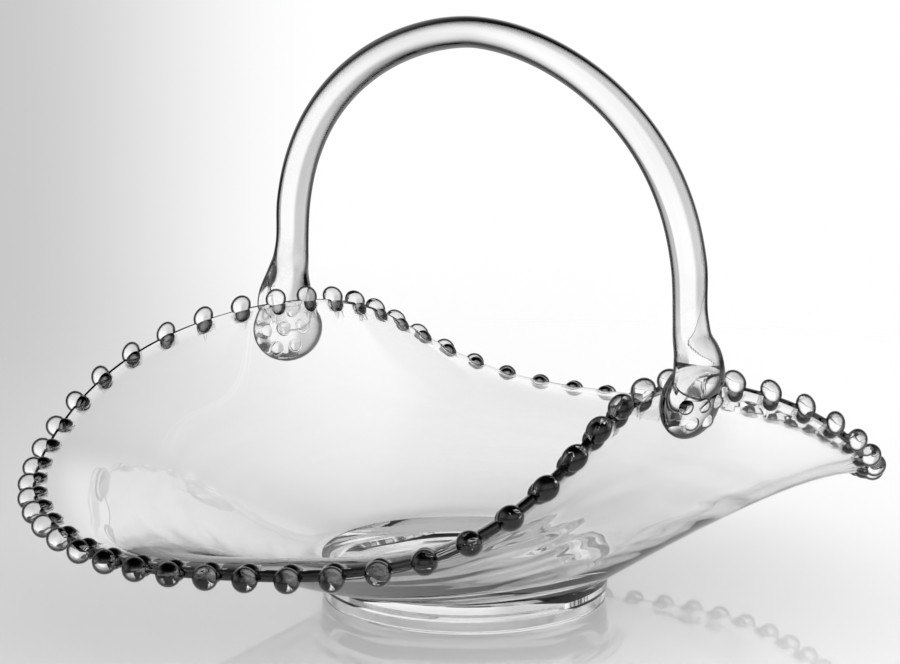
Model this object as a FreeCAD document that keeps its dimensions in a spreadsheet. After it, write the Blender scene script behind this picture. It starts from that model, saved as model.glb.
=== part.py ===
import FreeCAD, Part
import math
import os
import Sketcher

"""Handled basket of clear pressed glass, all of it one piece, in millimetres.

A round plate with a row of beads on its edge was folded up at two sides while
hot, and a round rod of glass was bent over it and pressed onto the outside of
both folds. +Z is up and X runs along the basket, from one low flared end to the
other. The handle stands in the YZ plane. The origin is the centre of the foot's
underside. Angles round the basket start at the far end of the handle (+Y) and
run through the left end (-X).
"""

SIZES = {
    # line through the centres of the beads
    "half_length": 142.0,
    "half_width": 98.5,
    "height_at_handle": 89.6,
    "height_at_end": 38.0,
    "end_rounding": 1.2,
    "side_skew": 4.3,
    "side_skew_turn": 1.0,
    "side_fullness": 13.8,
    "side_shoulder": 6.7,
    "side_ripple": 2.2,
    "side_offset": 1.1,
    "fold_sharpness": 7.5,
    "fold_ripple": 0.5,
    "fold_notch": 0.9,
    "end_twist": 1.3,
    # slope of the wall where it meets the beads, in degrees
    "rim_slope_at_handle": 80.0,
    "rim_slope_at_corner": 0.0,
    "rim_slope_at_end": -6.0,
    # wall
    "rim_thickness": 3.2,
    "heel_thickness": 6.0,
    "heel_radius": 49.3,
    "heel_height": 9.7,
    "heel_ledge": 0.4,
    "heel_slope_at_handle": 39.0,
    "heel_slope_at_end": 6.0,
    "wall_fullness": 0.75,
    "floor_radius": 34.0,
    "floor_height": 11.0,
    # foot ring, and the stepped underside within it
    "foot_radius": 48.2,
    "foot_width": 4.2,
    "foot_chamfer": 0.8,
    "recess_height": 4.6,
    "step_radius": 33.6,
    "step_depth": 0.9,
    # beads
    "bead_radius": 3.8,
    "bead_overlap": 1.0,
    "bead_shift": 0.33,
    # rod of the handle: an arch rather squarer than half an ellipse, thickest at its far end,
    # which follows the bead line that it rises from
    "far_rod_radius": 6.15,
    "crown_rod_radius": 5.15,
    "near_rod_radius": 5.4,
    "arch_overhang": 3.65,
    "arch_half_span": "=half_width + arch_overhang",
    "arch_offset": 1.74,
    "arch_spring_rise": 18.1,
    "arch_spring_height": "=height_at_handle + arch_spring_rise",
    "arch_rise": 81.74,
    "arch_side_power": 1.106,
    "arch_crown_power": 0.841,
    # widening of the rod down to the pads: heights above and distances outside the bead line
    "collar_rise": 13.0,
    "far_collar_reach": 3.9,
    "far_collar_radius": 6.7,
    "near_collar_reach": 5.2,
    "near_collar_radius": 5.95,
    "neck_rise": 8.5,
    "neck_half_depth": 6.4,
    "far_neck_reach": 5.5,
    "far_neck_half_width": 8.2,
    "near_neck_reach": 7.3,
    "near_neck_half_width": 7.8,
    "throat_rise": 1.5,
    "throat_half_depth": 5.6,
    "far_throat_reach": 7.5,
    "far_throat_half_width": 11.1,
    "near_throat_reach": 8.2,
    "near_throat_half_width": 9.6,
    # pads pressed onto the wall, and the domes stamped in them
    "far_pad_aside": -1.6,
    "far_pad_drop": 12.8,
    "far_pad_half_width": 14.6,
    "near_pad_aside": 0.5,
    "near_pad_drop": 5.5,
    "near_pad_half_width": 11.7,
    "pad_reach": 4.6,
    "pad_lean": 8.0,
    "pad_half_height": 12.2,
    "pad_half_depth": 6.0,
    "dome_radius": 2.7,
    "dome_pitch": 6.2,
    "dome_height": 1.3,
}

BEADS = 66
WALL_ROWS = 8
SMALL_LUMP_SIDES = 8
SMALL_LUMP_BANDS = 4
PAD_SIDES = 16
PAD_BANDS = 8
ARCH_SECTIONS = 20
DOMES_IN_RING = 6
FAR = 0.0
NEAR = math.pi
UP = FreeCAD.Vector(0, 0, 1)
ALONG_X = FreeCAD.Vector(1, 0, 0)

os.makedirs("parts", exist_ok=True)
doc = FreeCAD.newDocument("glass_basket")


def make_sheet():
    """Write every size, or the formula for it, into a spreadsheet cell with an alias of its own."""
    sizes = doc.addObject("Spreadsheet::Sheet", "sizes")
    for row, (alias, value) in enumerate(SIZES.items(), start=1):
        sizes.set("A%d" % row, alias)
        sizes.set("B%d" % row, str(value))
        sizes.setAlias("B%d" % row, alias)
    doc.recompute()
    return sizes


sheet = make_sheet()


def size(alias):
    return float(getattr(sheet, alias))


def radial(radius, angle, height=0.0):
    return FreeCAD.Vector(-radius * math.sin(angle), radius * math.cos(angle), height)


def round_rim(at_handle, at_corner, at_end, angle):
    """Smooth value round the basket that takes the three given values in turn."""
    mean = (at_handle + at_end + 2 * at_corner) / 4
    second = (at_handle - at_end) / 2
    fourth = (at_handle + at_end - 2 * at_corner) / 4
    return mean + second * math.cos(2 * angle) + fourth * math.cos(4 * angle)


def rim_point(angle):
    """Point on the line through the bead centres."""
    x = -size("half_length") * math.sin(angle)
    x += size("end_rounding") * (math.sin(3 * angle) + math.sin(angle))
    x -= size("side_skew") * math.sin(2 * angle)
    x += size("side_skew_turn") * math.sin(4 * angle)
    fullness = size("side_fullness")
    shoulder = size("side_shoulder")
    ripple = size("side_ripple")
    y = (size("half_width") + fullness + shoulder + ripple) * math.cos(angle)
    y -= fullness * math.cos(3 * angle)
    y -= shoulder * math.cos(5 * angle)
    y -= ripple * math.cos(7 * angle)
    y -= size("side_offset") * math.cos(4 * angle)
    notch = size("fold_notch")
    z = (size("height_at_handle") + size("height_at_end")) / 2 - size("fold_sharpness") + notch
    swing = (size("height_at_handle") - size("height_at_end")) / 2 - size("fold_ripple")
    z += swing * math.cos(2 * angle)
    z += size("fold_sharpness") * math.cos(4 * angle)
    z += size("fold_ripple") * math.cos(6 * angle)
    z -= notch * math.cos(8 * angle)
    z += size("end_twist") * math.sin(3 * angle)
    return FreeCAD.Vector(x, y, z)


def rim_along(angle):
    step = 1e-4
    return (rim_point(angle + step) - rim_point(angle - step)).normalize()


def rim_outward(angle):
    """Direction in which the wall runs out into the row of beads."""
    along = rim_along(angle)
    level = FreeCAD.Vector(-along.y, along.x, 0).normalize()
    if level.dot(radial(1, angle)) < 0:
        level = -level
    slope = math.radians(round_rim(
        size("rim_slope_at_handle"), size("rim_slope_at_corner"), size("rim_slope_at_end"), angle))
    return level * math.cos(slope) + UP * math.sin(slope)


def inward(normal):
    """The same normal, turned to the inside of the basket."""
    return normal if normal.z > 0 else -normal


def rim_normal(angle):
    return inward(rim_outward(angle).cross(rim_along(angle)).normalize())


def wall_point(angle, share):
    """Point on the outer skin of the wall, from the heel (share 0) to the edge (share 1)."""
    start = radial(size("heel_radius"), angle, size("heel_height"))
    reach = size("bead_radius") - size("bead_overlap")
    finish = rim_point(angle) - rim_outward(angle) * reach
    finish -= rim_normal(angle) * (size("rim_thickness") / 2)
    length = (finish - start).Length * size("wall_fullness")
    at_handle = size("heel_slope_at_handle")
    at_end = size("heel_slope_at_end")
    slope = math.radians(round_rim(at_handle, (at_handle + at_end) / 2, at_end, angle))
    leave = radial(math.cos(slope), angle, math.sin(slope)) * length
    arrive = rim_outward(angle) * length
    square = share ** 2
    cube = share ** 3
    return (start * (2 * cube - 3 * square + 1) + leave * (cube - 2 * square + share)
            + finish * (3 * square - 2 * cube) + arrive * (cube - square))


def wall_normal(angle, share):
    step = 1e-3
    high = min(share + step, 1)
    low = max(share - step, 0)
    up = wall_point(angle, high) - wall_point(angle, low)
    along = wall_point(angle + step, share) - wall_point(angle - step, share)
    return inward(up.cross(along).normalize())


def inner_point(angle, share):
    """Point on the inner skin, across the wall's thickness from the outer skin."""
    heel = size("heel_thickness")
    thickness = heel + (size("rim_thickness") - heel) * math.sqrt(share)
    return wall_point(angle, share) + wall_normal(angle, share) * thickness


def facet(*corners):
    return Part.Face(Part.makePolygon(list(corners) + [corners[0]]))


def solid_of(faces):
    """Closed solid from faces that share all their edges."""
    shell = Part.Shell(faces)
    shell.sewShape()
    solid = Part.Solid(shell)
    if solid.Volume < 0:
        solid.reverse()
    return solid


def add_shape(name, shape):
    feature = doc.addObject("Part::Feature", name)
    feature.Shape = shape
    return feature


def make_wall():
    """The folded plate: rings of points up the outer skin and down the inner one.

    Neighbouring rings are joined by three-cornered facets, one pair to each
    bead and row, since a doubly curved wall has no flat four-cornered ones.
    """
    angles = [2 * math.pi * column / BEADS for column in range(BEADS)]
    shares = [row / (WALL_ROWS - 1) for row in range(WALL_ROWS)]
    rings = [[wall_point(angle, share) for angle in angles] for share in shares]
    rings += [[inner_point(angle, share) for angle in angles] for share in reversed(shares[1:])]
    rings.append([radial(size("floor_radius"), angle, size("floor_height")) for angle in angles])
    faces = [facet(*rings[0]), facet(*rings[-1])]
    for lower, upper in zip(rings, rings[1:]):
        for column in range(BEADS):
            after = (column + 1) % BEADS
            faces.append(facet(lower[column], lower[after], upper[after]))
            faces.append(facet(lower[column], upper[after], upper[column]))
    return add_shape("wall", solid_of(faces))


def lump(centre, turn, radii, sides, bands):
    """Round lump with the given half sizes, in flat facets that meet its skin on average."""
    spread = 1 / math.cos(math.pi / (2 * sides)) / math.cos(math.pi / (4 * bands))
    rings = []
    for band in range(bands):
        latitude = math.pi * ((band + 0.5) / bands - 0.5)
        ring = []
        for side in range(sides):
            point = radial(math.cos(latitude), 2 * math.pi * (side + 0.5) / sides, math.sin(latitude))
            scaled = FreeCAD.Vector(point.x * radii[0], point.y * radii[1], point.z * radii[2])
            ring.append(centre + turn.multVec(scaled * spread))
        rings.append(ring)
    faces = [facet(*rings[0]), facet(*rings[-1])]
    for lower, upper in zip(rings, rings[1:]):
        for side in range(sides):
            after = (side + 1) % sides
            faces.append(facet(lower[side], lower[after], upper[after], upper[side]))
    return solid_of(faces)


def make_beads():
    """The row of beads, evenly spaced round the rim, with the handle between two at each side."""
    radii = [size("bead_radius")] * 3
    beads = []
    for bead in range(BEADS):
        angle = 2 * math.pi * (bead - size("bead_shift")) / BEADS
        turn = FreeCAD.Rotation(UP, rim_outward(angle))
        shape = lump(rim_point(angle), turn, radii, SMALL_LUMP_SIDES, SMALL_LUMP_BANDS)
        beads.append(add_shape("bead_%d" % bead, shape))
    return beads


def make_foot():
    """Foot ring and stepped underside, turned from one profile of radius and height."""
    body = doc.addObject("PartDesign::Body", "foot")
    inside = "sizes.foot_radius - sizes.foot_width"
    step = "sizes.recess_height - sizes.step_depth"
    profile = [
        ("0", "sizes.recess_height"),
        ("sizes.step_radius", "sizes.recess_height"),
        ("sizes.step_radius", step),
        (inside, step),
        (inside, "sizes.foot_chamfer"),
        (inside + " + sizes.foot_chamfer", "0"),
        ("sizes.foot_radius - sizes.foot_chamfer", "0"),
        ("sizes.foot_radius", "sizes.foot_chamfer"),
        ("sizes.heel_radius - sizes.heel_ledge", "sizes.heel_height"),
        ("0", "sizes.heel_height"),
    ]
    sketch = body.newObject("Sketcher::SketchObject", "foot_profile")
    plane = [p for p in body.Origin.OriginFeatures if p.Role == "XZ_Plane"][0]
    sketch.AttachmentSupport = (plane, [""])
    sketch.MapMode = "FlatFace"
    corners = []
    for radius, height in profile:
        values = [float(sheet.evalExpression(text)) for text in (radius, height)]
        corners.append(FreeCAD.Vector(values[0], values[1], 0))
    for corner, following in zip(corners, corners[1:] + corners[:1]):
        sketch.addGeometry(Part.LineSegment(corner, following), False)
    origin = -1
    height_axis = -2
    for line, (radius, height) in enumerate(profile):
        before = (line - 1) % len(profile)
        sketch.addConstraint(Sketcher.Constraint("Coincident", before, 2, line, 1))
        if radius == "0":
            sketch.addConstraint(Sketcher.Constraint("PointOnObject", line, 1, height_axis))
        else:
            index = sketch.addConstraint(
                Sketcher.Constraint("DistanceX", origin, 1, line, 1, corners[line].x))
            sketch.setExpression("Constraints[%d]" % index, radius)
        if height == "0":
            sketch.addConstraint(Sketcher.Constraint("PointOnObject", line, 1, origin))
        else:
            index = sketch.addConstraint(
                Sketcher.Constraint("DistanceY", origin, 1, line, 1, corners[line].y))
            sketch.setExpression("Constraints[%d]" % index, height)
    turned = body.newObject("PartDesign::Revolution", "foot_turned")
    turned.Profile = sketch
    turned.ReferenceAxis = (sketch, ["V_Axis"])
    turned.Angle = 360
    body.Tip = turned
    return body


def outside_bead_line(angle, reach, rise, aside=0.0):
    """Point beside an end of the handle, at a distance outside the bead line and above it."""
    rim = rim_point(angle)
    side = math.copysign(1, math.cos(angle))
    return FreeCAD.Vector(aside, rim.y + side * reach, rim.z + rise)


def pad_middle(pad, angle):
    return outside_bead_line(
        angle, size("pad_reach"), -size(pad + "_pad_drop"), size(pad + "_pad_aside"))


def pad_placement(pad, angle):
    """Place of a pad, with its face outward and its lower end leaning in."""
    lean = math.radians(size("pad_lean"))
    side = math.copysign(1, math.cos(angle))
    outward = FreeCAD.Vector(0, side * math.cos(lean), -math.sin(lean))
    upward = FreeCAD.Vector(0, side * math.sin(lean), math.cos(lean))
    turn = FreeCAD.Rotation(ALONG_X * side * -1, upward, outward, "ZXY")
    return FreeCAD.Placement(pad_middle(pad, angle), turn)


def make_pad(pad, angle):
    """Round lump of glass pressed flat against the wall, with domes stamped in its face.

    There is one dome in the middle and a ring of them round it.
    """
    half_width = size(pad + "_pad_half_width")
    placement = pad_placement(pad, angle)
    half_height = size("pad_half_height")
    half_depth = size("pad_half_depth")
    radii = (half_width, half_height, half_depth)
    pieces = [add_shape(pad + "_pad", lump(
        placement.Base, placement.Rotation, radii, PAD_SIDES, PAD_BANDS))]
    spots = [(0.0, 0.0)]
    for dome in range(DOMES_IN_RING):
        turn = 2 * math.pi * dome / DOMES_IN_RING
        spots.append((size("dome_pitch") * math.cos(turn), size("dome_pitch") * math.sin(turn)))
    radii = [size("dome_radius")] * 3
    for number, (across, up) in enumerate(spots):
        inside = 1 - (across / half_width) ** 2 - (up / half_height) ** 2
        top = half_depth * math.sqrt(inside) + size("dome_height")
        centre = placement.multVec(FreeCAD.Vector(across, up, top - size("dome_radius")))
        shape = lump(centre, placement.Rotation, radii, SMALL_LUMP_SIDES, SMALL_LUMP_BANDS)
        pieces.append(add_shape("%s_dome_%d" % (pad, number), shape))
    return pieces


def leg_sections(leg, angle):
    """Centres, half widths and half depths of the handle's sections, from pad to collar."""
    sections = [(pad_middle(leg, angle), "0.8 * sizes.%s_pad_half_width" % leg,
                 "0.7 * sizes.pad_half_depth")]
    for part in ("throat", "neck"):
        centre = outside_bead_line(angle, size("%s_%s_reach" % (leg, part)), size(part + "_rise"))
        sections.append((centre, "sizes.%s_%s_half_width" % (leg, part),
                         "sizes.%s_half_depth" % part))
    collar = "sizes.%s_collar_radius" % leg
    centre = outside_bead_line(angle, size(leg + "_collar_reach"), size("collar_rise"))
    sections.append((centre, collar, collar))
    return sections


def arch_sections():
    """Centres and radii of the rod's sections, from the far spring of the arch to the near one."""
    sections = []
    for section in range(ARCH_SECTIONS + 1):
        turn = math.pi * section / ARCH_SECTIONS
        level = abs(math.cos(turn)) ** size("arch_side_power") * math.copysign(1, math.cos(turn))
        height = abs(math.sin(turn)) ** size("arch_crown_power")
        centre = FreeCAD.Vector(0, size("arch_half_span") * level - size("arch_offset"),
                                size("arch_spring_height") + size("arch_rise") * height)
        leg = "far" if math.cos(turn) > 0 else "near"
        radius = "sizes.crown_rod_radius + %f * (sizes.%s_rod_radius - sizes.crown_rod_radius)" % (
            abs(math.cos(turn)), leg)
        sections.append((centre, radius, radius))
    return sections


def make_handle():
    """Round rod bent to an arch, widening at both ends down to the pads."""
    sections = leg_sections("far", FAR) + arch_sections() + leg_sections("near", NEAR)[::-1]
    rings = []
    for number, (centre, half_width, half_depth) in enumerate(sections):
        before = sections[max(number - 1, 0)][0]
        after = sections[min(number + 1, len(sections) - 1)][0]
        along = after - before
        lean = math.degrees(math.atan2(-along.y, along.z))
        ring = doc.addObject("Part::Ellipse", "section_%d" % number)
        ring.setExpression("MajorRadius", half_width)
        ring.setExpression("MinorRadius", half_depth)
        ring.Placement = FreeCAD.Placement(centre, FreeCAD.Rotation(ALONG_X, lean))
        rings.append(ring)
    handle = doc.addObject("Part::Loft", "handle")
    handle.Sections = rings
    handle.Solid = True
    handle.Ruled = True
    return handle


def main():
    pieces = [make_wall(), make_foot(), make_handle()] + make_beads()
    pieces += make_pad("far", FAR) + make_pad("near", NEAR)
    doc.recompute()
    basket = doc.addObject("Part::MultiFuse", "glass_basket")
    basket.Label = "glass_basket"
    basket.Shapes = pieces
    basket.Refine = False
    doc.recompute()
    for item in doc.Objects:
        if "Invalid" in item.State or "Error" in item.State:
            raise RuntimeError("%s failed: %s" % (item.Name, item.State))
    shape = basket.Shape
    if shape.isNull() or not shape.isValid() or len(shape.Solids) != 1:
        raise RuntimeError("the basket is not one valid solid")
    print("glass_basket", shape.Volume, shape.BoundBox, len(shape.Faces))
    shape.exportStep("parts/glass_basket.step")


main()
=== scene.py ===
"""Looks of the clear glass basket: one closed mesh of smooth glass, on a pale table.

The basket is modelled from the same driving sizes as its solid, much finer, and
stands for the solid's node. Lengths below are in millimetres, and MM turns them
into Blender's metres.
"""
import math

import bmesh
import bpy
import numpy as np
from mathutils import Matrix, Vector


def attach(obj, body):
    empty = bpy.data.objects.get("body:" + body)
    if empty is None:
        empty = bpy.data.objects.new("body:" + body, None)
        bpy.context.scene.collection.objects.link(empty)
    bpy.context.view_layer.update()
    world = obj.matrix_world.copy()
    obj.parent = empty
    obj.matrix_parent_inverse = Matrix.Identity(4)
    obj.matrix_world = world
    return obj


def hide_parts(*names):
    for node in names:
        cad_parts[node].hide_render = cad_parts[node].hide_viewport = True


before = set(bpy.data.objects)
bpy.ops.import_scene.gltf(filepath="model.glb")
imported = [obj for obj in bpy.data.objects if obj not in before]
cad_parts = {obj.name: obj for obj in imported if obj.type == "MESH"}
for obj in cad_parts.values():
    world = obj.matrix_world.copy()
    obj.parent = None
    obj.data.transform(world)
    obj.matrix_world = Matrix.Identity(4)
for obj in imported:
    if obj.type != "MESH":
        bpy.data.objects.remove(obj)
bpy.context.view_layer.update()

MM = 0.001
NODE = "glass_basket"
FAR = 0.0
NEAR = math.pi

# line through the centres of the beads
HALF_LENGTH = 142.0
HALF_WIDTH = 98.5
HEIGHT_AT_HANDLE = 89.6
HEIGHT_AT_END = 38.0
END_ROUNDING = 1.2
SIDE_SKEW = 4.3
SIDE_SKEW_TURN = 1.0
SIDE_FULLNESS = 13.8
SIDE_SHOULDER = 6.7
SIDE_RIPPLE = 2.2
SIDE_OFFSET = 1.1
FOLD_SHARPNESS = 7.5
FOLD_RIPPLE = 0.5
FOLD_NOTCH = 0.9
END_TWIST = 1.3
RIM_SLOPES = (80.0, 0.0, -6.0)

# wall and foot
RIM_THICKNESS = 3.2
EDGE_POWER = 0.5
HEEL_THICKNESS = 6.0
HEEL_RADIUS = 49.3
HEEL_HEIGHT = 9.7
HEEL_SLOPES = (39.0, 6.0)
HEEL_LEDGE = 0.1
WALL_FULLNESS = 0.75
FLOOR_RADIUS = 34.0
FOOT_RADIUS = 48.2
FOOT_WIDTH = 4.2
FOOT_ROUNDING = 1.0
RECESS_HEIGHT = 4.6
STEP_RADIUS = 33.6
STEP_DEPTH = 0.9
FOOT_JOIN = 1.0

# radius and height of the rings where the inner skin drops to the floor
WELL = ((45.0, 15.4), (41.0, 14.6), (36.0, 12.6), (31.5, 11.2), (29.5, 11.0))

# beads, and the swelling behind each of them: distance inwards, and half sizes along
# the edge, across the plate and inwards
BEADS = 66
BEAD_RADIUS = 3.8
BEAD_OVERLAP = 1.0
BEAD_SHIFT = 0.33
NECK_SETBACK = 3.1
NECK_RADII = (3.3, 3.4, 3.4)

# rod of the handle
FAR_ROD_RADIUS = 6.15
CROWN_ROD_RADIUS = 5.15
NEAR_ROD_RADIUS = 5.4
ARCH_OVERHANG = 3.65
ARCH_HALF_SPAN = HALF_WIDTH + ARCH_OVERHANG
ARCH_OFFSET = 1.74
ARCH_SPRING_RISE = 18.1
ARCH_SPRING_HEIGHT = HEIGHT_AT_HANDLE + ARCH_SPRING_RISE
ARCH_RISE = 81.74
ARCH_SIDE_POWER = 1.106
ARCH_CROWN_POWER = 0.841

# sections of each leg: distance outside the bead line, height above it, half width, half depth
FAR_LEG = ((7.5, 1.5, 11.1, 5.6), (5.5, 8.5, 8.2, 6.4), (3.9, 13.0, 6.7, 6.7))
NEAR_LEG = ((8.2, 1.5, 9.6, 5.6), (7.3, 8.5, 7.8, 6.4), (5.2, 13.0, 5.95, 5.95))

# pads: place along X, height above the bead line, half width
FAR_PAD = (-1.6, -12.8, 14.6)
NEAR_PAD = (0.5, -5.5, 11.7)
PAD_REACH = 4.6
PAD_LEAN = 8.0
PAD_HALF_HEIGHT = 12.2
PAD_HALF_DEPTH = 6.0
DOME_RADIUS = 2.7
DOME_PITCH = 6.2
DOME_HEIGHT = 1.3
DOMES_IN_RING = 6

# where the rod starts inside its pad: shares of the pad's half width and half depth
ROOT_SHARES = (0.8, 0.7)

# glass: where each kind starts and ends turning dark with painted shade, on a scale from 0,
# seen straight on, to 1, seen edge on, and its grey seen straight on; the painted shade draws
# dark outlines
GLASSES = {
    "clear_glass": (0.72, 1.0, 0.99),
    "thick_clear_glass": (0.3, 0.52, 0.99),
    "bead_clear_glass": (0.24, 0.46, 0.99),
    # the necks are painted dark even seen straight on: painted shade where the beads meet the plate
    "neck_clear_glass": (0.0, 0.22, 0.2),
}
PLATE_GLASS, ROD_GLASS, BEAD_GLASS, NECK_GLASS = range(len(GLASSES))
GLASS_OF_KIND = {"wall": PLATE_GLASS, "foot": PLATE_GLASS, "bead": BEAD_GLASS, "neck": NECK_GLASS}
# painted shade: the grey that the glass is painted where it is seen fully edge on
EDGE_PAINTED_SHADE = 0.0
REFRACTIVE_INDEX = 1.52
SHARP_ANGLE = math.radians(35)

# faint rings in the plate; the offset sets those of its two skins apart
SKIN_OFFSET = 40.0
RING_SCALE = 0.16
RING_WANDER = 14.0
WANDER_SCALE = 0.035
RIPPLE_DEPTH = 0.1
RIPPLE_REACH = 110.0
RIPPLE_FADE = ((0.5, 1.0), (1.0, 0.0))

# camera, in degrees and millimetres: where it stands, and how far it turns from the origin
CAMERA_AZIMUTH = 39.8
CAMERA_ELEVATION = 16.86
CAMERA_DISTANCE = 749.4
CAMERA_TURN = -0.432
CAMERA_TILT = -6.79
CAMERA_ROLL = 0.305
CAMERA_LENS = 87.25

# table, in metres, with its greys from left to right, painted shade that darkens its left side,
# and its fading from the middle outwards
TABLE_RADIUS = 1.2
TABLE_SIDES = 96
TABLE_GAP = 0.0002
TABLE_ROUGHNESS = 0.04
TABLE_INDEX = 1.5
TABLE_PAINTED_SHADE = ((0.2, 0.6), (0.5, 0.95), (0.7, 1.0))
TABLE_FADE = ((0.1, 0.0), (0.75, 1.0))

# studio: the photograph looks along FORWARD, and the bright window is turned a little from it;
# the pairs are places and greys
FORWARD = (math.sin(math.radians(CAMERA_AZIMUTH)), math.cos(math.radians(CAMERA_AZIMUTH)), 0)
RIGHTWARD = (math.cos(math.radians(CAMERA_AZIMUTH)), -math.sin(math.radians(CAMERA_AZIMUTH)), 0)
WINDOW_TURN = math.radians(5)
PANELS = ((0.4, 1.0), (0.46, 0.5), (0.78, 0.5), (0.83, 1.0))
CEILING = ((0.5, 1.0), (0.8, 0.08))
LEFT_SIDE = ((0.0, 1.0), (0.2, 0.62), (0.43, 0.58), (0.48, 1.0))
MIRRORED_ROOM = ((0.47, 0.35), (0.5, 1.0), (0.68, 1.0), (0.8, 0.35))

# fineness of the meshes, with the rod's spacing in millimetres
COLUMNS = BEADS * 8
WALL_ROWS = 24
EDGE_ROWS = 6
TURNED_SIDES = 192
BEAD_SEGMENTS = 32
BEAD_RINGS = 16
NECK_SEGMENTS = 24
NECK_RINGS = 12
PAD_SEGMENTS = 64
PAD_RINGS = 48
DOME_SEGMENTS = 24
DOME_RINGS = 16
FOOT_CORNER_STEPS = 4
ROD_SIDES = 48
ARCH_SECTIONS = 20
ROD_SPACING = 1.5


def unit(vectors):
    return vectors / np.linalg.norm(vectors, axis=-1, keepdims=True)


def stack(x, y, z):
    return np.stack(np.broadcast_arrays(x, y, z), axis=-1).astype(float)


def radial(radius, angle, height=0.0):
    return stack(-radius * np.sin(angle), radius * np.cos(angle), height)


def round_rim(at_handle, at_corner, at_end, angle):
    """Smooth value round the basket that takes the three given values in turn."""
    mean = (at_handle + at_end + 2 * at_corner) / 4
    second = (at_handle - at_end) / 2
    fourth = (at_handle + at_end - 2 * at_corner) / 4
    return mean + second * np.cos(2 * angle) + fourth * np.cos(4 * angle)


def rim_point(angle):
    """Point on the line through the bead centres."""
    x = -HALF_LENGTH * np.sin(angle)
    x = x + END_ROUNDING * (np.sin(3 * angle) + np.sin(angle))
    x = x - SIDE_SKEW * np.sin(2 * angle) + SIDE_SKEW_TURN * np.sin(4 * angle)
    y = (HALF_WIDTH + SIDE_FULLNESS + SIDE_SHOULDER + SIDE_RIPPLE) * np.cos(angle)
    y = y - SIDE_FULLNESS * np.cos(3 * angle) - SIDE_SHOULDER * np.cos(5 * angle)
    y = y - SIDE_RIPPLE * np.cos(7 * angle) - SIDE_OFFSET * np.cos(4 * angle)
    z = (HEIGHT_AT_HANDLE + HEIGHT_AT_END) / 2 - FOLD_SHARPNESS + FOLD_NOTCH
    z = z + ((HEIGHT_AT_HANDLE - HEIGHT_AT_END) / 2 - FOLD_RIPPLE) * np.cos(2 * angle)
    z = z + FOLD_SHARPNESS * np.cos(4 * angle) + FOLD_RIPPLE * np.cos(6 * angle)
    z = z - FOLD_NOTCH * np.cos(8 * angle) + END_TWIST * np.sin(3 * angle)
    return stack(x, y, z)


def rim_along(angle):
    step = 1e-4
    return unit(rim_point(angle + step) - rim_point(angle - step))


def rim_outward(angle):
    """Direction in which the wall runs out into the row of beads."""
    along = rim_along(angle)
    level = unit(stack(along[..., 1], -along[..., 0], 0))
    outside = np.sign(np.sum(level * radial(1, angle), axis=-1, keepdims=True))
    slope = np.radians(round_rim(*RIM_SLOPES, angle))[..., None]
    return level * outside * np.cos(slope) + stack(0, 0, 1) * np.sin(slope)


def inward(normals):
    return unit(normals) * np.sign(normals[..., 2:3])


def rim_normal(angle):
    return inward(np.cross(rim_outward(angle), rim_along(angle)))


def wall_point(angle, share):
    """Point on the outer skin of the wall, from the heel (share 0) to the edge (share 1)."""
    start = radial(HEEL_RADIUS, angle, HEEL_HEIGHT)
    outward = rim_outward(angle)
    finish = rim_point(angle) - outward * (BEAD_RADIUS - BEAD_OVERLAP)
    finish = finish - rim_normal(angle) * (RIM_THICKNESS / 2)
    length = np.linalg.norm(finish - start, axis=-1, keepdims=True) * WALL_FULLNESS
    at_handle, at_end = HEEL_SLOPES
    slope = np.radians(round_rim(at_handle, (at_handle + at_end) / 2, at_end, angle))
    leave = radial(np.cos(slope), angle, np.sin(slope)) * length
    arrive = outward * length
    square = share ** 2
    cube = share ** 3
    return (start * (2 * cube - 3 * square + 1) + leave * (cube - 2 * square + share)
            + finish * (3 * square - 2 * cube) + arrive * (cube - square))


def wall_normal(angle, share):
    step = 1e-3
    high = min(share + step, 1)
    low = max(share - step, 0)
    up = wall_point(angle, high) - wall_point(angle, low)
    along = wall_point(angle + step, share) - wall_point(angle - step, share)
    return inward(np.cross(up, along))


def inner_point(angle, share):
    thickness = HEEL_THICKNESS + (RIM_THICKNESS - HEEL_THICKNESS) * math.sqrt(share)
    return wall_point(angle, share) + wall_normal(angle, share) * thickness


def mesh_object(name, points, faces):
    mesh = bpy.data.meshes.new(name)
    mesh.from_pydata([tuple(p * MM) for p in points], [], faces)
    mesh.update()
    made = bpy.data.objects.new(name, mesh)
    bpy.context.scene.collection.objects.link(made)
    bm = bmesh.new()
    bm.from_mesh(mesh)
    bmesh.ops.recalc_face_normals(bm, faces=bm.faces)
    bm.to_mesh(mesh)
    bm.free()
    return made


def skin(name, rings):
    """Closed mesh over rings of equally many points, with a flat cap on the first and last."""
    count = len(rings[0])
    points = np.concatenate(rings)
    faces = [list(range(count)), list(range(len(points) - count, len(points)))]
    for row in range(len(rings) - 1):
        low = row * count
        high = low + count
        for side in range(count):
            after = (side + 1) % count
            faces.append([low + side, low + after, high + after, high + side])
    return mesh_object(name, points, faces)


def unfold(wall, rings, angle):
    """Notes where each point lay on the flat plate, so that the glass can have its rings."""
    spot = wall.data.attributes.new("plate", "FLOAT_VECTOR", "POINT")
    reach = np.zeros(len(angle))
    before = rings[0]
    places = []
    for number, ring in enumerate(rings):
        side = 1 if number < len(rings) / 2 else -1
        reach = reach + np.linalg.norm(ring - before, axis=-1) * side
        places.append(np.stack([reach * np.cos(angle), reach * np.sin(angle),
                                np.full(len(angle), side * SKIN_OFFSET)], axis=-1))
        before = ring
    spot.data.foreach_set("vector", np.concatenate(places).ravel())


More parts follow.
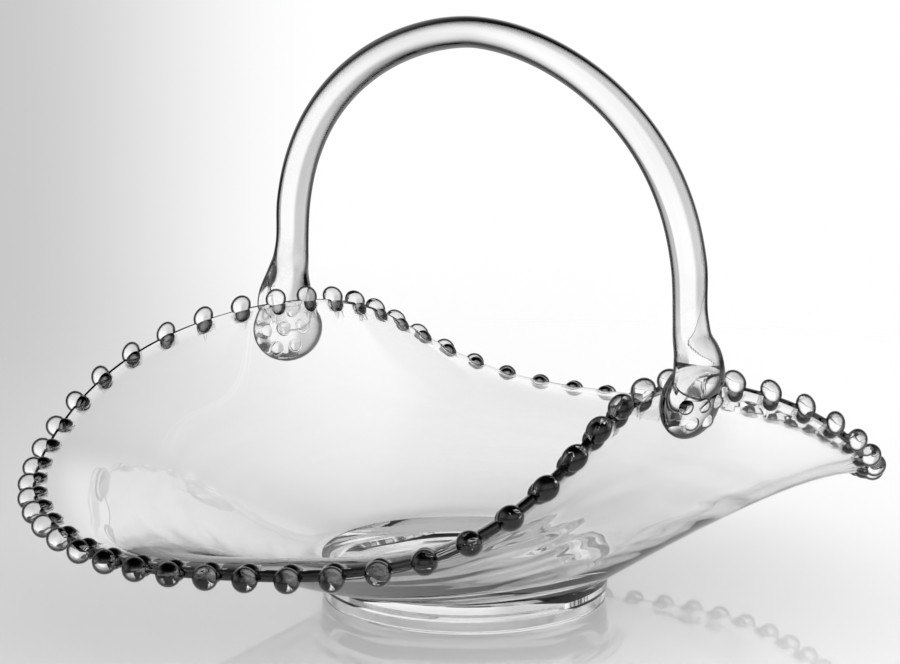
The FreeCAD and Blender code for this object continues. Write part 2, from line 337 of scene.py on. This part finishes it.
def make_wall():
    """The folded plate: up the outer skin, round the edge, and down the inner skin to the floor."""
    angle = 2 * math.pi * np.arange(COLUMNS) / COLUMNS
    shares = [row / (WALL_ROWS - 1) for row in range(WALL_ROWS)]
    rings = [radial(FLOOR_RADIUS, angle, HEEL_HEIGHT)]
    rings += [wall_point(angle, share) for share in shares]
    middle = (wall_point(angle, 1) + inner_point(angle, 1)) / 2
    outward = rim_outward(angle)
    normal = rim_normal(angle)
    for row in range(1, EDGE_ROWS):
        turn = math.pi * (row / EDGE_ROWS - 0.5)
        round_off = outward * math.cos(turn) ** EDGE_POWER + normal * math.sin(turn)
        rings.append(middle + round_off * (RIM_THICKNESS / 2))
    rings += [inner_point(angle, share) for share in reversed(shares[1:])]
    rings += [radial(radius, angle, height) for radius, height in WELL]
    wall = skin("wall", rings)
    unfold(wall, rings, angle)
    return wall


def make_foot():
    """Foot ring and stepped underside, turned from one profile of radius and height."""
    inside = FOOT_RADIUS - FOOT_WIDTH
    profile = [(STEP_RADIUS, RECESS_HEIGHT), (STEP_RADIUS, RECESS_HEIGHT - STEP_DEPTH),
               (inside, RECESS_HEIGHT - STEP_DEPTH)]
    for middle, start in ((inside + FOOT_ROUNDING, 180), (FOOT_RADIUS - FOOT_ROUNDING, 270)):
        for step in range(FOOT_CORNER_STEPS + 1):
            turn = math.radians(start + 90 * step / FOOT_CORNER_STEPS)
            profile.append((middle + FOOT_ROUNDING * math.cos(turn),
                            FOOT_ROUNDING + FOOT_ROUNDING * math.sin(turn)))
    profile.append((HEEL_RADIUS - HEEL_LEDGE, HEEL_HEIGHT + FOOT_JOIN))
    angle = 2 * math.pi * np.arange(TURNED_SIDES) / TURNED_SIDES
    return skin("foot", [radial(radius, angle, height) for radius, height in profile])


def ball(name, centre, frame_axes, radii, segments, rings):
    """Ellipsoid with the given half sizes along three axes."""
    bm = bmesh.new()
    bmesh.ops.create_uvsphere(bm, u_segments=segments, v_segments=rings, radius=1)
    place = Matrix.Identity(4)
    for column, (axis, radius) in enumerate(zip(frame_axes, radii)):
        for row in range(3):
            place[row][column] = axis[row] * radius * MM
    for row in range(3):
        place[row][3] = centre[row] * MM
    bmesh.ops.transform(bm, matrix=place, verts=bm.verts)
    bmesh.ops.recalc_face_normals(bm, faces=bm.faces)
    mesh = bpy.data.meshes.new(name)
    bm.to_mesh(mesh)
    bm.free()
    made = bpy.data.objects.new(name, mesh)
    bpy.context.scene.collection.objects.link(made)
    return made


def make_beads():
    """The row of beads, each with a swelling that blends it into the plate's edge."""
    beads = []
    for bead in range(BEADS):
        angle = np.array(2 * math.pi * (bead - BEAD_SHIFT) / BEADS)
        outward = rim_outward(angle)
        along = rim_along(angle)
        axes = (along, np.cross(outward, along), outward)
        beads.append(ball("bead_%d" % bead, rim_point(angle), axes, [BEAD_RADIUS] * 3,
                          BEAD_SEGMENTS, BEAD_RINGS))
        beads.append(ball("neck_%d" % bead, rim_point(angle) - outward * NECK_SETBACK, axes,
                          NECK_RADII, NECK_SEGMENTS, NECK_RINGS))
    return beads


def outside_bead_line(angle, reach, rise, aside=0.0):
    """Point beside an end of the handle, at a distance outside the bead line and above it."""
    rim = rim_point(np.array(angle))
    side = math.copysign(1, math.cos(angle))
    return np.array([aside, rim[1] + side * reach, rim[2] + rise])


def make_pad(name, angle, pad):
    """Round lump pressed flat against the wall, with a dome in its middle and a ring round it."""
    aside, rise, half_width = pad
    side = math.copysign(1, math.cos(angle))
    lean = math.radians(PAD_LEAN)
    outward = np.array([0, side * math.cos(lean), -math.sin(lean)])
    upward = np.array([0, side * math.sin(lean), math.cos(lean)])
    across = np.cross(upward, outward)
    axes = (across, upward, outward)
    middle = outside_bead_line(angle, PAD_REACH, rise, aside)
    pieces = [ball(name, middle, axes, (half_width, PAD_HALF_HEIGHT, PAD_HALF_DEPTH),
                   PAD_SEGMENTS, PAD_RINGS)]
    spots = [(0.0, 0.0)]
    for dome in range(DOMES_IN_RING):
        turn = 2 * math.pi * dome / DOMES_IN_RING
        spots.append((DOME_PITCH * math.cos(turn), DOME_PITCH * math.sin(turn)))
    for number, (right, up) in enumerate(spots):
        inside = 1 - (right / half_width) ** 2 - (up / PAD_HALF_HEIGHT) ** 2
        depth = PAD_HALF_DEPTH * math.sqrt(inside) + DOME_HEIGHT - DOME_RADIUS
        centre = middle + across * right + upward * up + outward * depth
        pieces.append(ball("%s_dome_%d" % (name, number), centre, axes, [DOME_RADIUS] * 3,
                           DOME_SEGMENTS, DOME_RINGS))
    return pieces


def leg_rows(angle, pad, leg):
    """Centres, half widths and half depths of the handle's sections, from pad to collar."""
    aside, rise, half_width = pad
    width_share, depth_share = ROOT_SHARES
    rows = [np.append(outside_bead_line(angle, PAD_REACH, rise, aside),
                      (width_share * half_width, depth_share * PAD_HALF_DEPTH))]
    for reach, above, width, depth in leg:
        rows.append(np.append(outside_bead_line(angle, reach, above), (width, depth)))
    return rows


def arch_rows():
    """The same for the arch, whose rod is round."""
    rows = []
    for section in range(ARCH_SECTIONS + 1):
        turn = math.pi * section / ARCH_SECTIONS
        level = abs(math.cos(turn)) ** ARCH_SIDE_POWER * math.copysign(1, math.cos(turn))
        height = abs(math.sin(turn)) ** ARCH_CROWN_POWER
        end_radius = FAR_ROD_RADIUS if math.cos(turn) > 0 else NEAR_ROD_RADIUS
        radius = CROWN_ROD_RADIUS + abs(math.cos(turn)) * (end_radius - CROWN_ROD_RADIUS)
        rows.append(np.array([0, ARCH_HALF_SPAN * level - ARCH_OFFSET,
                              ARCH_SPRING_HEIGHT + ARCH_RISE * height, radius, radius]))
    return rows


def smooth_rows(rows, spacing):
    """Rows of numbers, evenly spaced, on a smooth curve through the given rows."""
    rows = np.array(rows, float)
    steps = np.linalg.norm(np.diff(rows[:, :3], axis=0), axis=1)
    places = np.concatenate([[0], np.cumsum(steps)])
    slopes = np.diff(rows, axis=0) / steps[:, None]
    share = (steps[1:] / (steps[1:] + steps[:-1]))[:, None]
    tangents = np.vstack([slopes[:1], slopes[:-1] * share + slopes[1:] * (1 - share), slopes[-1:]])
    wanted = np.linspace(0, places[-1], int(places[-1] / spacing) + 1)
    low = np.clip(np.searchsorted(places, wanted, side="right") - 1, 0, len(steps) - 1)
    length = steps[low][:, None]
    t = (wanted[:, None] - places[low][:, None]) / length
    return (rows[low] * (2 * t ** 3 - 3 * t ** 2 + 1) + tangents[low] * length * (t ** 3 - 2 * t ** 2 + t)
            + rows[low + 1] * (3 * t ** 2 - 2 * t ** 3) + tangents[low + 1] * length * (t ** 3 - t ** 2))


def make_handle():
    """Round rod bent to an arch, widening at both ends down to the pads."""
    rows = leg_rows(FAR, FAR_PAD, FAR_LEG) + arch_rows() + leg_rows(NEAR, NEAR_PAD, NEAR_LEG)[::-1]
    rows = smooth_rows(rows, ROD_SPACING)
    side = np.array([1.0, 0.0, 0.0])
    turn = 2 * math.pi * np.arange(ROD_SIDES) / ROD_SIDES
    rings = []
    for centre, direction, (width, depth) in zip(
            rows[:, :3], unit(np.gradient(rows[:, :3], axis=0)), rows[:, 3:]):
        across = np.cross(direction, side)
        rings.append(centre + np.outer(np.cos(turn) * width, side) + np.outer(np.sin(turn) * depth, across))
    return skin("handle", rings)


def fuse(base, others):
    """Joins closed meshes to the base, so that no skin is left inside the glass."""
    group = bpy.data.collections.new("to_fuse")
    bpy.context.scene.collection.children.link(group)
    for other in others:
        bpy.context.scene.collection.objects.unlink(other)
        group.objects.link(other)
    union = base.modifiers.new("fuse", "BOOLEAN")
    union.operation = "UNION"
    union.operand_type = "COLLECTION"
    union.collection = group
    union.solver = "MANIFOLD"
    depsgraph = bpy.context.evaluated_depsgraph_get()
    fused = bpy.data.meshes.new_from_object(base.evaluated_get(depsgraph))
    base.modifiers.clear()
    base.data = fused
    for other in others:
        bpy.data.objects.remove(other)
    bpy.data.collections.remove(group)
    return base


def put(tree, operation, *inputs):
    """Math node in a node tree; each input is a socket or a number."""
    node = tree.nodes.new("ShaderNodeMath")
    node.operation = operation
    for slot, given in enumerate(inputs):
        if isinstance(given, (int, float)):
            node.inputs[slot].default_value = given
        else:
            tree.links.new(given, node.inputs[slot])
    return node.outputs[0]


def reach_along(tree, vector, axis):
    """How far a vector reaches along a fixed axis."""
    node = tree.nodes.new("ShaderNodeVectorMath")
    node.operation = "DOT_PRODUCT"
    tree.links.new(vector, node.inputs[0])
    node.inputs[1].default_value = axis
    return node.outputs["Value"]


def shade(tree, fac, *stops):
    """Grey value that follows a number from 0 to 1 smoothly through (place, grey) stops."""
    node = tree.nodes.new("ShaderNodeValToRGB")
    node.color_ramp.interpolation = "EASE"
    elements = node.color_ramp.elements
    while len(elements) < len(stops):
        elements.new(1.0)
    for element, (place, grey) in zip(elements, stops):
        element.position = place
        element.color = (grey, grey, grey, 1)
    tree.links.new(fac, node.inputs["Fac"])
    return node.outputs["Color"]


def length_of(tree, vector):
    node = tree.nodes.new("ShaderNodeVectorMath")
    node.operation = "LENGTH"
    tree.links.new(vector, node.inputs[0])
    return node.outputs["Value"]


def glass_material(name, edge_start, edge_end, face_grey):
    """Clear glass whose base colour is painted darker where it is seen edge on: painted shade for dark
    outlines.
    """
    material = bpy.data.materials.new(name)
    material.use_nodes = True
    tree = material.node_tree
    shader = tree.nodes["Principled BSDF"]
    shader.inputs["Roughness"].default_value = 0.0
    shader.inputs["IOR"].default_value = REFRACTIVE_INDEX
    shader.inputs["Transmission Weight"].default_value = 1.0
    facing = tree.nodes.new("ShaderNodeLayerWeight")
    facing.inputs["Blend"].default_value = 0.5
    # painted shade: Layer Weight darkens the base colour towards the parts seen edge on
    painted_edge_shade = shade(tree, facing.outputs["Facing"], (edge_start, face_grey), (edge_end, EDGE_PAINTED_SHADE))
    tree.links.new(painted_edge_shade, shader.inputs["Base Color"])
    return material


def add_ripples(material):
    """Faint wandering rings in the plate, which fade out away from the foot."""
    tree = material.node_tree
    spot = tree.nodes.new("ShaderNodeAttribute")
    spot.attribute_name = "plate"
    wander = tree.nodes.new("ShaderNodeTexNoise")
    wander.inputs["Scale"].default_value = WANDER_SCALE
    wander.inputs["Detail"].default_value = 1.0
    tree.links.new(spot.outputs["Vector"], wander.inputs["Vector"])
    radius = length_of(tree, spot.outputs["Vector"])
    rings = tree.nodes.new("ShaderNodeTexNoise")
    rings.noise_dimensions = "1D"
    rings.inputs["Scale"].default_value = RING_SCALE
    rings.inputs["Detail"].default_value = 0.0
    tree.links.new(put(tree, "MULTIPLY_ADD", wander.outputs["Fac"], RING_WANDER, radius),
                   rings.inputs["W"])
    faded = shade(tree, put(tree, "DIVIDE", radius, RIPPLE_REACH), *RIPPLE_FADE)
    bump = tree.nodes.new("ShaderNodeBump")
    bump.inputs["Strength"].default_value = 1.0
    bump.inputs["Distance"].default_value = RIPPLE_DEPTH * MM
    tree.links.new(put(tree, "MULTIPLY", rings.outputs["Fac"], faded), bump.inputs["Height"])
    tree.links.new(bump.outputs["Normal"], tree.nodes["Principled BSDF"].inputs["Normal"])


def give_glass(piece, glasses):
    """Every piece gets all the glasses, so that its faces keep their own when it is fused."""
    for glass in glasses:
        piece.data.materials.append(glass)
    index = GLASS_OF_KIND.get(piece.name.split("_")[0], ROD_GLASS)
    piece.data.polygons.foreach_set("material_index", [index] * len(piece.data.polygons))


def make_basket():
    glasses = [glass_material(name, *numbers) for name, numbers in GLASSES.items()]
    add_ripples(glasses[PLATE_GLASS])
    basket = make_wall()
    pieces = [make_foot(), make_handle()] + make_beads()
    pieces += make_pad("far_pad", FAR, FAR_PAD) + make_pad("near_pad", NEAR, NEAR_PAD)
    for piece in [basket] + pieces:
        give_glass(piece, glasses)
    # the faces of the rounded edge follow the two caps, the underside and the outer skin
    caps = 2
    edge_start = caps + WALL_ROWS * COLUMNS
    # painted shade: the rounded edge takes the bead glass, so that it is painted into a dark band seen edge
    # on
    for face in basket.data.polygons[edge_start:edge_start + EDGE_ROWS * COLUMNS]:
        face.material_index = BEAD_GLASS
    fuse(basket, pieces)
    basket.name = "basket_glass"
    basket.data.shade_smooth()
    basket.data.set_sharp_from_angle(angle=SHARP_ANGLE)
    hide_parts(NODE)
    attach(basket, "root")


def make_camera():
    """Camera at the photograph's place, aimed so that the basket falls where it does there."""
    azimuth = math.radians(CAMERA_AZIMUTH)
    elevation = math.radians(CAMERA_ELEVATION)
    distance = CAMERA_DISTANCE * MM
    turn = azimuth + math.radians(CAMERA_TURN)
    tilt = elevation + math.radians(CAMERA_TILT)
    roll = math.radians(CAMERA_ROLL)
    place = distance * Vector((-math.sin(azimuth) * math.cos(elevation),
                               -math.cos(azimuth) * math.cos(elevation), math.sin(elevation)))
    back = Vector((-math.sin(turn) * math.cos(tilt), -math.cos(turn) * math.cos(tilt), math.sin(tilt)))
    right = Vector((math.cos(turn), -math.sin(turn), 0))
    up = back.cross(right)
    right, up = (right * math.cos(roll) + up * math.sin(roll),
                 up * math.cos(roll) - right * math.sin(roll))
    camera = bpy.data.objects.new("camera", bpy.data.cameras.new("camera"))
    camera.data.lens = CAMERA_LENS
    camera.data.clip_end = 100
    camera.matrix_world = Matrix.Translation(place) @ Matrix((right, up, back)).transposed().to_4x4()
    bpy.context.scene.collection.objects.link(camera)
    bpy.context.scene.camera = camera


def make_floor():
    """Pale glossy table that fades into the backdrop all round, with painted shade that darkens its left
    side.
    """
    bpy.ops.mesh.primitive_circle_add(vertices=TABLE_SIDES, radius=TABLE_RADIUS, fill_type="NGON")
    floor = bpy.context.object
    floor.name = "floor"
    floor.location.z = -TABLE_GAP
    material = bpy.data.materials.new("table")
    material.use_nodes = True
    tree = material.node_tree
    shader = tree.nodes["Principled BSDF"]
    shader.inputs["Roughness"].default_value = TABLE_ROUGHNESS
    shader.inputs["IOR"].default_value = TABLE_INDEX
    place = tree.nodes.new("ShaderNodeTexCoord").outputs["Object"]
    lateral = put(tree, "ADD", reach_along(tree, place, RIGHTWARD), 0.5)
    # painted shade: the base colour is darker towards the left of the view
    tree.links.new(shade(tree, lateral, *TABLE_PAINTED_SHADE), shader.inputs["Base Color"])
    clear = tree.nodes.new("ShaderNodeBsdfTransparent")
    blend = tree.nodes.new("ShaderNodeMixShader")
    distance = put(tree, "DIVIDE", length_of(tree, place), TABLE_RADIUS)
    tree.links.new(shade(tree, distance, *TABLE_FADE), blend.inputs["Fac"])
    tree.links.new(shader.outputs[0], blend.inputs[1])
    tree.links.new(clear.outputs[0], blend.inputs[2])
    tree.links.new(blend.outputs[0], tree.nodes["Material Output"].inputs["Surface"])
    floor.data.materials.append(material)


def where(tree, condition, grey):
    """The grey where the condition is 1, and plain white where it is 0."""
    return put(tree, "MULTIPLY_ADD", condition, put(tree, "SUBTRACT", grey, 1.0), 1.0)


def make_world():
    """White studio all round, with dark panels that only the glass and the gloss show.

    Light that the table scatters comes from a plain white room, so that there is no dark
    patch under the glass. To all the rest, the camera too, the room is greyer on the left.
    What a surface mirrors is darker, except near the horizon.
    """
    world = bpy.data.worlds.new("studio")
    bpy.context.scene.world = world
    world.use_nodes = True
    tree = world.node_tree
    direction = tree.nodes.new("ShaderNodeTexCoord").outputs["Generated"]
    forward = reach_along(tree, direction, FORWARD)
    rightward = reach_along(tree, direction, RIGHTWARD)
    height = reach_along(tree, direction, (0, 0, 1))
    turn = put(tree, "ARCTAN2", rightward, forward)
    sideways = put(tree, "ABSOLUTE", put(tree, "COSINE", put(tree, "ADD", turn, WINDOW_TURN)))
    studio = put(tree, "MULTIPLY", shade(tree, sideways, *PANELS), shade(tree, height, *CEILING))
    left = put(tree, "ADD", put(tree, "MULTIPLY", turn, 1 / math.pi), 0.5)
    light = tree.nodes.new("ShaderNodeLightPath").outputs
    through = light["Is Transmission Ray"]
    glossy = light["Is Glossy Ray"]
    off_table = put(tree, "SUBTRACT", 1.0, put(tree, "MINIMUM", light["Diffuse Depth"], 1.0))
    by_glass = put(tree, "MULTIPLY", put(tree, "MAXIMUM", through, glossy), off_table)
    mirrored = put(tree, "MULTIPLY", glossy, put(tree, "SUBTRACT", 1.0, through))
    level = put(tree, "MULTIPLY_ADD", height, 0.5, 0.5)
    room = where(tree, mirrored, shade(tree, level, *MIRRORED_ROOM))
    strength = where(tree, by_glass, put(tree, "MULTIPLY", studio, room))
    seen = put(tree, "MAXIMUM", by_glass, light["Is Camera Ray"])
    dimmed = where(tree, seen, shade(tree, left, *LEFT_SIDE))
    tree.links.new(put(tree, "MULTIPLY", strength, dimmed), tree.nodes["Background"].inputs["Strength"])
    tree.nodes["Background"].inputs["Color"].default_value = (1, 1, 1, 1)


make_camera()
make_basket()
make_floor()
make_world()
bpy.context.scene.view_settings.view_transform = "Standard"
